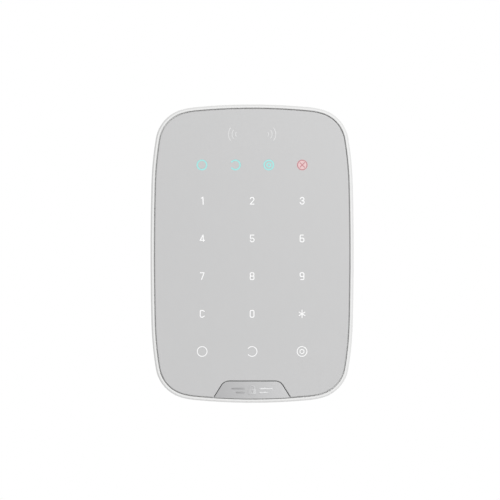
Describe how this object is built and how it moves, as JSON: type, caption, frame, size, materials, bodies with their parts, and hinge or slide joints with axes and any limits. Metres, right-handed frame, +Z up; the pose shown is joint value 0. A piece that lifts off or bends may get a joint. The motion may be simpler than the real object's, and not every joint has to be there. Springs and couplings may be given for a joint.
{
  "type": "wireless alarm keypad",
  "caption": "Wall-mounted touch keypad for an alarm, with number keys, mode keys, status lights and a tag reader, hung on a slide-off bracket.",
  "frame": {"origin": "centre of the bracket's flat wall face, level with the middle of the keypad's height", "axes": "+Y into the wall, out of the bracket's wall face; +Z up along the keypad's height; +X to the right as a person faces the keys, which look along -Y"},
  "size_m": [0.1126, 0.02, 0.1654],
  "materials": {
    "housing_white": "fine satin",
    "bracket_white": "fine satin",
    "panel_grey": "smooth satin",
    "legend_white": "satin",
    "reader_grey": "satin",
    "light_cyan": "satin",
    "fault_pink": "satin",
    "fault_red": "satin",
    "badge_grey": "satin",
    "emblem_silver": "satin",
    "adhesive": "matt",
    "film": "gloss",
    "electrode": "satin",
    "guide": "gloss",
    "led": "gloss",
    "connector": "matt",
    "flex_amber": "gloss",
    "board_green": "solder resist",
    "copper": "satin",
    "chip_black": "matt",
    "shield": "satin",
    "antenna": "satin",
    "capacitor": "satin sleeve",
    "buzzer_black": "matt",
    "tray_grey": "matt",
    "cell_jacket": "printed sleeve",
    "spring_steel": "bright",
    "contact_nickel": "bright",
    "switch_black": "matt",
    "stem_white": "satin",
    "button_grey": "satin",
    "screw_zinc": "zinc plated",
    "label_silver": "satin film"
  },
  "bodies": {
    "bracket": {"mounting_bracket": "bracket_white"},
    "keypad": {"front_housing": "housing_white", "rear_housing": "housing_white", "touch_panel": "panel_grey", "key_legends": "legend_white", "mode_legends": "legend_white", "status_windows": "light_cyan", "fault_window": "fault_pink", "fault_symbol": "fault_red", "reader_mark": "reader_grey", "badge_plate": "badge_grey", "badge_emblem": "emblem_silver", "panel_adhesive": "adhesive", "touch_film": "film", "touch_electrodes": "electrode", "light_guide": "guide", "key_leds": "led", "status_leds": "led", "tail_connector": "connector", "sensor_tail": "flex_amber", "main_board": "board_green", "reader_coil": "copper", "controller_chips": "chip_black", "radio_module": "shield", "radio_antenna": "antenna", "board_capacitors": "capacitor", "buzzer": "buzzer_black", "battery_tray": "tray_grey", "cell_1": "cell_jacket", "cell_2": "cell_jacket", "cell_3": "cell_jacket", "cell_4": "cell_jacket", "battery_springs": "spring_steel", "battery_contacts": "contact_nickel", "tamper_switch": "switch_black", "tamper_spring": "spring_steel", "power_switch": "switch_black", "case_screws": "screw_zinc", "id_label": "label_silver"},
    "tamper_button": {"tamper_plunger": "stem_white", "tamper_switch_stem": "stem_white"},
    "power_button": {"power_button": "button_grey", "power_switch_stem": "stem_white"}
  },
  "joints": [
    {"name": "keypad_slide", "type": "slide", "parent": "bracket", "child": "keypad", "axis": [0, 0, 1], "range_m": [0, 0.008]},
    {"name": "tamper_press", "type": "slide", "parent": "keypad", "child": "tamper_button", "axis": [0, -1, 0], "range_m": [0, 0.0012], "stiffness_N_per_m": 150, "springref_m": -0.002, "deforming": ["tamper_spring"]},
    {"name": "power_press", "type": "slide", "parent": "keypad", "child": "power_button", "axis": [0, -1, 0], "range_m": [0, 0.0005], "stiffness_N_per_m": 1000, "springref_m": -0.0003}
  ]
}
